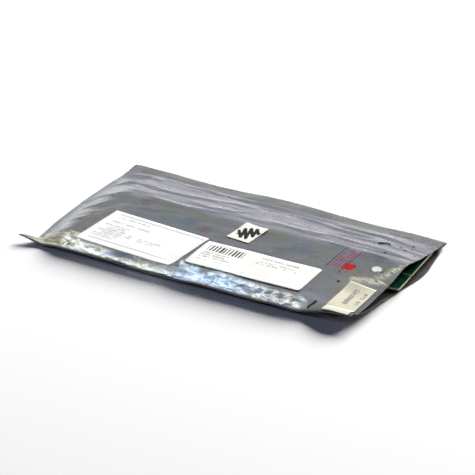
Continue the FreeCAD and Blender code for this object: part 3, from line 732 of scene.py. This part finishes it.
def film_surface(name, colours, roughness):
    """Metallised plastic film. colours(b, x, y, flat) gives its colour, how far it is crumpled, and
    where it's covered with ink, or None."""
    surface, shader, b = new_material(name)
    x, y, flat = b.plan()
    colour, crumple, ink = colours(b, x, y, flat)
    b.feed(shader.inputs["Base Color"], colour)
    shader.inputs["Metallic"].default_value = 0.8
    shader.inputs["Coat Weight"].default_value = 0.2
    gloss = b.span(b.noise(b.place(), 60, 3), 0.3, 0.7, roughness, roughness + 0.12)
    gloss = b.times_plus(crumple, -0.06, gloss)
    if ink is not None:
        gloss = b.times_plus(ink, 0.30, gloss)
        b.feed(shader.inputs["Metallic"], b.times_plus(ink, -0.6, 0.8))
        b.feed(shader.inputs["Coat Weight"], b.times_plus(ink, -0.2, 0.2))
    b.feed(shader.inputs["Roughness"], gloss)
    fine = b.noise(b.vector("MULTIPLY", flat, (0.35, 1, 1)), 0.40, 3, 0.55, 0.6)
    b.links.new(b.bump(fine, 0.30, 0.0007), shader.inputs["Normal"])
    shader.inputs["Coat Roughness"].default_value = 0.12
    return surface


def outer_colours(b, x, y, flat):
    colour = film_colours(b, x, y, flat)
    crumple, tint_and_painted_highlight = film_crumple(b, x, y, flat)
    # The crumpled wall and corners take thin-film tints with painted highlight and painted shade.
    colour = b.mix(b.times(crumple, 0.92), colour, tint_and_painted_highlight)
    colour, ink = film_print(b, x, y, colour)
    # Specks and nicks are painted near black; in the nicks this is painted shade inside the slit.
    specks_and_slit_shade = b.any_of([b.spot(x, y, (sx, sy), radius) for sx, sy, radius in SPECKS]
                      + [b.stroke(x, y, start, end, radius) for start, end, radius in NICKS])
    ink = b.larger(ink, specks_and_slit_shade)
    return b.mix(b.times(specks_and_slit_shade, 0.95), colour, (0.008, 0.008, 0.012)), crumple, ink


def inner_colours_in_shade(b, x, y, flat):
    """The bottom film: browner than the top, and painted dark as shade under the top film and inside the mouth."""
    cloudy = b.noise(flat, 0.08, 4, 0.6)
    colour = b.ramp(cloudy, [(0.3, (0.10, 0.085, 0.085)), (0.5, (0.17, 0.155, 0.15)),
                             (0.7, (0.12, 0.12, 0.13))])
    return colour, b.span(cloudy, 0.6, 0.8, 0.0, 0.4), None


def paper_material(name, base, print_on, roughness=0.62):
    """Paper with fibres and a little grime. print_on(b, x, y, colour) adds the label's own print."""
    surface, shader, b = new_material(name)
    x, y, flat = b.plan()
    fibre = b.noise(flat, 2.2, 4, 0.7)
    stain = b.noise(flat, 0.06, 3, 0.6)
    shade = tuple(c * 0.93 for c in base)
    colour = b.mix(b.span(b.times_plus(fibre, 0.4, b.times(stain, 0.6)), 0.35, 0.7), shade, base)
    colour = print_on(b, x, y, colour)
    b.feed(shader.inputs["Base Color"], colour)
    b.feed(shader.inputs["Roughness"], b.span(fibre, 0.3, 0.7, roughness - 0.06, roughness + 0.08))
    b.links.new(b.bump(fibre, 0.12, 0.0002), shader.inputs["Normal"])
    return surface


INK = (0.045, 0.045, 0.05)


def contents_print(b, x, y, colour):
    rules = b.times(b.any_of([b.inside(y, 20.6, 21.7), b.inside(y, -18.2, -17.1)]),
                    b.more(b.fract(b.over(x, 1.7)), 0.42))
    rules = b.times(rules, b.inside(x, -33, 38))
    marks = b.blocks(x, y,
                     ((-32, 15.5), (0, 18.8), 3.3, 1.1, 1.0, 0.8, 0.2),
                     ((-33, 8.6), (6, 11.6), 3.0, 1.2, 2.0, 0.9, 0.1),
                     ((-34, -14.5), (-12, 5.5), 2.9, 1.1, 3.0, 0.9, 0.3),
                     ((-10, -7.4), (28, -1.6), 2.9, 1.1, 4.0, 0.75, 0.4))
    faint = b.mix(b.times(marks, 0.62), colour, INK)
    return b.mix(b.times(rules, 0.8), faint, INK)


def barcode_print(b, x, y, colour):
    pitch = b.over(x, 2.5)
    wide = b.times_plus(b.random(b.join(b.floor(pitch), 7.0, 1.0)), 0.42, 0.30)
    bars = b.less(b.fract(pitch), wide)
    bars = b.times(bars, b.rectangle(x, y, (-39.6, 5.0), (-12.0, 13.4)))
    marks = b.blocks(x, y,
                     ((-36, 13.6), (-17, 15.4), 1.8, 0.7, 11.0, 0.7, 0.1),
                     ((-40, -5.6), (-13, 3.6), 3.1, 1.2, 12.0, 0.92, 0.4),
                     ((-40, -9.4), (-6, -7.4), 2.0, 0.7, 13.0, 0.6, 0.2),
                     ((1, 10.4), (31, 14.2), 3.4, 1.3, 14.0, 0.95, 0.05),
                     ((0, 2.8), (34, 9.4), 3.1, 0.8, 15.0, 0.7, 0.3),
                     ((-3, -13.2), (6, -11.4), 1.8, 0.7, 16.0, 0.8, 0.1))
    colour = b.mix(b.times(marks, 0.72), colour, INK)
    return b.mix(bars, colour, INK)


def stock_print(b, x, y, colour):
    marks = b.blocks(y, b.times(x, -1.0),
                     ((-5, -1.8), (16, 4.2), 6.0, 2.7, 21.0, 0.95, 0.1, 0.8),
                     ((-3, -8.6), (15, -4.0), 4.6, 2.7, 22.0, 0.85, 0.2, 0.8))
    colour = b.mix(b.times(marks, 0.75), colour, (0.12, 0.11, 0.13))
    age = b.noise(b.join(x, y, 4.0), 0.11, 4, 0.7)
    return b.mix(b.span(age, 0.5, 0.75, 0.0, 0.5), colour, (0.66, 0.60, 0.38))


def dot_print(b, x, y, colour):
    """A plain sticker, darker at its rim."""
    rim = b.span(b.distance(x, y, (0.0, 0.0)), 3.0, 3.8)
    return b.mix(b.times(rim, 0.85), colour, (0.14, 0.16, 0.12))


def marker_print(b, x, y, colour):
    """A thick felt-pen scribble, with no letters in it."""
    turns = [(-7.0, -0.4), (-0.6, -8.0), (-4.8, 4.3), (3.5, -7.6), (-1.6, 7.0), (6.0, -2.8),
             (2.4, 8.4), (7.4, 2.3)]
    strokes = [b.stroke(x, y, start, end, 1.15) for start, end in zip(turns[:-1], turns[1:])]
    strokes.append(b.stroke(x, y, (-5.6, -4.6), (7.2, 4.0), 0.8))
    return b.mix(b.any_of(strokes), colour, (0.012, 0.008, 0.008))


# ---- Labels ----
def label_grid(width, depth, turn, centre, rows, columns, corner=0.0):
    """Plan points of a label, in its own millimetres and in the bag's, with its corners rounded."""
    u, v = np.meshgrid(np.linspace(-width / 2, width / 2, rows),
                       np.linspace(-depth / 2, depth / 2, columns), indexing="ij")
    if corner:
        a = np.clip((np.abs(u) - (width / 2 - corner)) / corner, 0, 1)
        c = np.clip((np.abs(v) - (depth / 2 - corner)) / corner, 0, 1)
        radius = np.hypot(a, c)
        scale = np.where(radius > 0, np.maximum(a, c) / np.where(radius > 0, radius, 1), 1)
        u = np.where(a > 0, np.sign(u) * (width / 2 - corner + a * corner * scale), u)
        v = np.where(c > 0, np.sign(v) * (depth / 2 - corner + c * corner * scale), v)
    angle = math.radians(turn)
    x = centre[0] + u * math.cos(angle) - v * math.sin(angle)
    y = centre[1] + u * math.sin(angle) + v * math.cos(angle)
    return u, v, x, y


def label_lift(x, y):
    """A label follows the film's smooth shape, and bridges its shoulder at the front."""
    return film_height(x, np.maximum(y, -55.0)) + 0.35


def make_label(name, label, node, surface, lift, counts=(60, 40), corner=0.0, thickness=0.14):
    size, turn, centre = LABELS[label]
    u, v, x, y = label_grid(*size, turn, centre, *counts, corner)
    z = lift(x, y, u, v)
    piece = thin_shell(name, (x, y, z), thickness, surface, (u, v))
    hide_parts(node)
    return piece


def make_labels():
    def contents(x, y, u, v):
        bow = 0.15 * np.sin(u / 13.0) * ease(-v / 20)
        curled = 1.2 * ease((u - 22) / 17) * ease((-v - 14) / 10)
        return label_lift(x, y) + 0.15 + bow - 0.5 * ease((u - 10) / 30) * ease((-v - 5) / 20) + curled

    def barcode(x, y, u, v):
        return label_lift(x, y) + 0.1 * np.sin(u / 9.0 + v / 6.0)

    def marker(x, y, u, v):
        return label_lift(x, y) + 0.7 * (np.abs(u) / 9.2) ** 2 * ease((v + 4) / 14) + 0.1

    def stock(x, y, u, v):
        around = [film_height(x + dx, y + dy) for dx in (-4.0, 0.0, 4.0) for dy in (-2.0, 0.0, 2.0)]
        return np.max(around, axis=0) + 0.3

    def dot(x, y, u, v):
        return film_height(x, y) + 0.45

    sheet = make_label("contents_sheet", "contents", "label_contents",
                       paper_material("contents_paper", (0.90, 0.91, 0.91), contents_print), contents)
    # its overhang would leave a step in the bag's long shadow
    sheet.visible_shadow = False
    make_label("barcode_sheet", "barcode", "label_barcode",
               paper_material("barcode_paper", (0.91, 0.91, 0.89), barcode_print), barcode, (72, 36), 2.2)
    make_label("marker_tag", "marker", "label_marker",
               paper_material("tag_paper", (0.84, 0.84, 0.80), marker_print), marker, (40, 50))
    make_label("stock_sheet", "stock", "label_stock",
               paper_material("stock_paper", (0.80, 0.78, 0.62), stock_print), stock, (30, 56))
    make_label("dot_sticker", "dot", "label_dot",
               paper_material("dot_paper", (0.84, 0.86, 0.80), dot_print), dot, (25, 25), 3.89, 0.06)


# ---- Card materials ----
def simple_surface(name, base, roughness=0.45, metallic=0.0):
    """A moulded, coated or plated surface: mottled colour, uneven gloss and a fine grain."""
    grain, variation = 900.0, 0.12
    surface, shader, b = new_material(name)
    place = b.place()
    broad = b.noise(place, grain * 0.12, 3, 0.6)
    fine = b.noise(place, grain, 3, 0.6)
    dark, light = (tuple(min(c * f, 1) for c in base) for f in (1 - variation, 1 + variation))
    b.feed(shader.inputs["Base Color"], b.mix(b.span(broad, 0.3, 0.7), dark, light))
    b.feed(shader.inputs["Roughness"], b.span(fine, 0.3, 0.7, roughness * 0.85, min(roughness * 1.2, 1)))
    shader.inputs["Metallic"].default_value = metallic
    b.links.new(b.bump(fine, 0.15, 0.0001), shader.inputs["Normal"])
    return surface


def board_surface():
    """Green solder mask over copper tracks, on a board with pale sawn edges. The mask's green is darkened as
    painted shade, since the board lies in the bag's shade.
    """
    surface, shader, b = new_material("board_laminate")
    place = b.split(b.vector("MULTIPLY", b.place(), (1 / MM, 1 / MM, 1 / MM)))
    x = b.plus(b.times(place[0], card_cos), b.times(place[1], card_sin))
    y = b.minus(b.times(place[1], card_cos), b.times(place[0], card_sin))
    region = b.random(b.join(b.floor(b.over(x, 15.24)), b.floor(b.over(y, 12.7)), 2.0))
    tracks = []
    for across, along, which in ((y, x, "LESS_THAN"), (x, y, "GREATER_THAN")):
        lane = b.over(across, 2.54)
        line = b.inside(b.fract(lane), 0.36, 0.60)
        run = b.floor(b.over(along, 9.0))
        used = b.less(b.random(b.join(b.floor(lane), run, 5.0)), 0.62)
        tracks.append(b.times(b.times(line, used), b.math(which, region, 0.5)))
    copper = b.any_of(tracks)
    cloudy = b.noise(b.join(x, y, 0.0), 0.05, 3, 0.6)
    # The solder mask is painted darker than its own green: painted shade inside the bag.
    mask = b.mix(b.span(cloudy, 0.3, 0.7), (0.002, 0.023, 0.013), (0.003, 0.032, 0.018))
    colour = b.mix(b.times(copper, 0.75), mask, (0.008, 0.066, 0.035))
    upright = b.math("ABSOLUTE", b.split(b.nodes.new("ShaderNodeNewGeometry").outputs["Normal"])[2])
    sawn = b.mix(b.noise(b.join(x, y, 0.0), 1.5, 3, 0.7), (0.30, 0.36, 0.20), (0.52, 0.56, 0.38))
    edge = b.less(upright, 0.5)
    b.feed(shader.inputs["Base Color"], b.mix(edge, colour, sawn))
    b.feed(shader.inputs["Roughness"], b.times_plus(edge, 0.4, b.span(cloudy, 0.3, 0.7, 0.20, 0.27)))
    shader.inputs["Specular IOR Level"].default_value = 0.25
    b.links.new(b.bump(copper, 0.25, 0.00006), shader.inputs["Normal"])
    return surface


def dress_card():
    looks = {
        "gold_plate": ((0.85, 0.62, 0.22), 0.22, 1.0), "black_anodised": ((0.025, 0.025, 0.028), 0.4, 0.3),
        "thermal_pad": ((0.55, 0.55, 0.53), 0.7, 0.0), "black_epoxy": ((0.022, 0.022, 0.024), 0.5, 0.0),
        "white_epoxy": ((0.74, 0.73, 0.69), 0.5, 0.0), "tinned_metal": ((0.70, 0.70, 0.68), 0.3, 1.0),
        "zinc_steel": ((0.62, 0.62, 0.60), 0.3, 1.0), "capacitor_sleeve": ((0.03, 0.06, 0.20), 0.3, 0.0),
        "aluminium_end": ((0.75, 0.75, 0.75), 0.35, 1.0),
        "film_capacitor_case": ((0.42, 0.05, 0.03), 0.3, 0.0),
        "ceramic_dip": ((0.60, 0.26, 0.05), 0.35, 0.0), "resistor_lacquer": ((0.55, 0.40, 0.24), 0.35, 0.0),
        "power_resistor_coat": ((0.16, 0.24, 0.18), 0.75, 0.0),
        "diode_case": ((0.03, 0.03, 0.03), 0.45, 0.0),
        "ferrite": ((0.06, 0.06, 0.065), 0.6, 0.0), "enamelled_copper": ((0.60, 0.22, 0.07), 0.28, 0.9),
        "crystal_can": ((0.75, 0.75, 0.76), 0.2, 1.0), "led_lens": ((0.55, 0.02, 0.015), 0.2, 0.0),
        "terminal_plastic": ((0.02, 0.22, 0.08), 0.4, 0.0), "clamp_brass": ((0.75, 0.55, 0.25), 0.35, 1.0),
        "switch_housing": ((0.45, 0.02, 0.02), 0.35, 0.0), "slider_plastic": ((0.85, 0.85, 0.82), 0.4, 0.0),
        "trimmer_case": ((0.02, 0.07, 0.38), 0.35, 0.0), "trimmer_brass": ((0.80, 0.60, 0.28), 0.3, 1.0),
    }
    surfaces = {slot: simple_surface(slot, *look_of) for slot, look_of in looks.items()}
    surfaces["board_laminate"] = board_surface()
    for row in frame["record"]["subparts"]:
        if row["material_slot"] in surfaces:
            materials = frame["nodes"][row["node"]].data.materials
            materials.clear()
            materials.append(surfaces[row["material_slot"]])


# ---- Small details on the card ----
def lumps(node):
    """The separate lumps of a node: the points of each, in card millimetres and height."""
    piece = frame["nodes"][node]
    mesh = piece.data
    raw = np.empty(len(mesh.vertices) * 3)
    mesh.vertices.foreach_get("co", raw)
    points = raw.reshape(-1, 3) / MM
    _, same = np.unique(np.round(points, 3), axis=0, return_inverse=True)
    same = same.ravel()
    edges = np.empty(len(mesh.edges) * 2, int)
    mesh.edges.foreach_get("vertices", edges)
    first, second = same[edges.reshape(-1, 2)].T
    lump = np.arange(same.max() + 1)
    while True:
        joined = lump.copy()
        least = np.minimum(lump[first], lump[second])
        np.minimum.at(joined, first, least)
        np.minimum.at(joined, second, least)
        joined = joined[joined]
        if (joined == lump).all():
            break
        lump = joined
    u, v = to_card(points[:, 0], points[:, 1])
    placed = np.column_stack([u, v, points[:, 2]])
    return [placed[lump[same] == one] for one in np.unique(lump[same])]


def box_of(points):
    return points.min(axis=0), points.max(axis=0)


class Pile:
    """Closed solids given in card millimetres, gathered into one piece on the card."""

    def __init__(self):
        self.points, self.faces = [], []

    def add(self, points, faces):
        first = len(self.points)
        for u, v, z in points:
            x, y = from_card(u, v)
            self.points.append((x, y, z))
        self.faces += [tuple(first + i for i in face) for face in faces]

    def tube(self, sections, closed):
        """Joins cross-sections with the same number of corners each into a solid."""
        corners = len(sections[0])
        points = [point for section in sections for point in section]
        faces = []
        for i in range(len(sections) if closed else len(sections) - 1):
            here, there = i * corners, (i + 1) % len(sections) * corners
            faces += [(here + j, here + (j + 1) % corners, there + (j + 1) % corners, there + j)
                      for j in range(corners)]
        if not closed:
            faces += [tuple(range(corners))[::-1], tuple(range(len(points) - corners, len(points)))]
        self.add(points, faces)

    def outline(self, low, high, gap, width, bottom, top):
        """A rectangular line of print around a box."""
        sections = []
        for across, up in ((-1, -1), (1, -1), (1, 1), (-1, 1)):
            inner = ((low[0] - gap, high[0] + gap)[across > 0], (low[1] - gap, high[1] + gap)[up > 0])
            outer = (inner[0] + across * width, inner[1] + up * width)
            sections.append([(*inner, bottom), (*outer, bottom), (*outer, top), (*inner, top)])
        self.tube(sections, True)

    def button(self, centre, rings, sides=14):
        """A solid of revolution: rings of (radius, height), from the bottom up."""
        sections = []
        for radius, height in rings:
            angles = [2 * math.pi * i / sides for i in range(sides)]
            sections.append([(centre[0] + radius * math.cos(a), centre[1] + radius * math.sin(a), height)
                             for a in angles])
        self.tube(sections, False)

    def wrap(self, low, high, span, angles, raised, steps=20):
        """A band on a lying barrel, over part of its length and between two angles from the side."""
        lying = 0 if high[0] - low[0] > high[1] - low[1] else 1
        middle = (low + high) / 2
        radius = (high[1 - lying] - low[1 - lying]) / 2
        ends = [low[lying] + t * (high[lying] - low[lying]) for t in span]
        closed = angles[1] - angles[0] >= 360
        sections = []
        for i in range(steps if closed else steps + 1):
            angle = math.radians(angles[0] + (angles[1] - angles[0]) * i / steps)
            section = []
            for end, r in ((ends[0], radius + raised), (ends[1], radius + raised), (ends[1], radius - 0.1),
                           (ends[0], radius - 0.1)):
                point = [end, end, middle[2] + r * math.sin(angle)]
                point[1 - lying] = middle[1 - lying] + r * math.cos(angle)
                section.append(tuple(point))
            sections.append(section)
        self.tube(sections, closed)

    def piece(self, name, surface, smooth=False):
        return new_piece(name, self.points, self.faces, surface, "card", smooth)


def feet(node):
    """Where a node's leads stand on the board."""
    places = []
    for points in lumps(node):
        for u, v, z in points[points[:, 2] < board_top + 0.06]:
            if all(math.hypot(u - a, v - b) > 1.1 for a, b in places[-4:]):
                places.append((u, v))
    return places


def print_on_board():
    """White outlines around the parts, and dots at their first pins."""
    ink = Pile()
    outlined = {"logic_chips": 1.9, "controller_chip": 1.9, "optocouplers": 1.9, "bulk_capacitors": 0.4,
                "film_capacitors": 0.4, "choke_core": 2.0, "crystal_can": 0.5, "small_resistors": 0.45,
                "sense_resistors": 0.35, "diodes": 0.35, "switch_body": 0.6, "trimmer_body": 0.6}
    for node, gap in outlined.items():
        for points in lumps(node):
            low, high = box_of(points)
            if high[0] - low[0] > 2 or high[1] - low[1] > 2:
                ink.outline(low, high, gap, 0.22, board_top + 0.005, board_top + 0.03)
    for node in ("logic_chips", "controller_chip", "optocouplers"):
        for points in lumps(node):
            low, high = box_of(points)
            spot = (low[0] + 1.5, low[1] + 1.3)
            ink.button(spot, [(0.4, high[2] - 0.05), (0.4, high[2] + 0.02)])
    ink.piece("board_legend", simple_surface("legend_ink", (0.78, 0.78, 0.74), 0.6))


def solder_leads():
    """A fillet of solder around each lead on the board, and a blob under the board."""
    fillet = [(0.85, 0.01), (0.80, 0.08), (0.45, 0.3), (0.22, 0.55)]
    blob = [(0.3, 0.6), (0.6, 0.4), (0.85, 0.03), (0.85, 0.005)]
    joints = Pile()
    for node in ("small_resistor_leads", "logic_chip_legs", "controller_legs", "optocoupler_legs",
                 "axial_part_leads", "transistor_leads", "regulator_leads", "bulk_capacitor_leads"):
        for place in feet(node):
            joints.button(place, [(r, board_top + up) for r, up in fillet], 10)
            joints.button(place, [(r, board_bottom - down) for r, down in blob], 10)
    joints.piece("solder_joints", simple_surface("solder", (0.62, 0.62, 0.61), 0.28, 1.0), True)


def band_barrels():
    """The resistors' colour bands, the diodes' cathode bands and the capacitors' stripes."""
    inks = {"brown": (0.11, 0.035, 0.012), "black": (0.012, 0.012, 0.012), "red": (0.50, 0.02, 0.01),
            "gold": (0.55, 0.36, 0.08)}
    codes = [("brown", "black", "red"), ("red", "red", "brown"), ("brown", "red", "black")]
    bands = {name: Pile() for name in inks}
    for number, points in enumerate(lumps("small_resistors")):
        names = codes[number // 3 % len(codes)] + ("gold",)
        for name, start in zip(names, (0.24, 0.37, 0.50, 0.70)):
            bands[name].wrap(*box_of(points), (start, start + 0.07), (0, 360), -0.01)
    for name, pile in bands.items():
        surface = simple_surface(f"{name}_band_ink", inks[name], 0.35, 0.6 if name == "gold" else 0.0)
        pile.piece(f"resistor_bands_{name}", surface, True)
    pale = Pile()
    for points in lumps("diodes"):
        pale.wrap(*box_of(points), (0.72, 0.86), (0, 360), 0.015)
    for points in lumps("bulk_capacitors"):
        pale.wrap(*box_of(points), (0.12, 0.90), (28, 62), 0.02, 8)
    pale.piece("polarity_bands", simple_surface("polarity_ink", (0.66, 0.67, 0.68), 0.4), True)


look()
studio()
make_top_film(film_surface("shielding_film", outer_colours, 0.24))
make_bottom_film(film_surface("shielding_film_inside", inner_colours_in_shade, 0.32))
make_labels()
dress_card()
print_on_board()
solder_leads()
band_barrels()
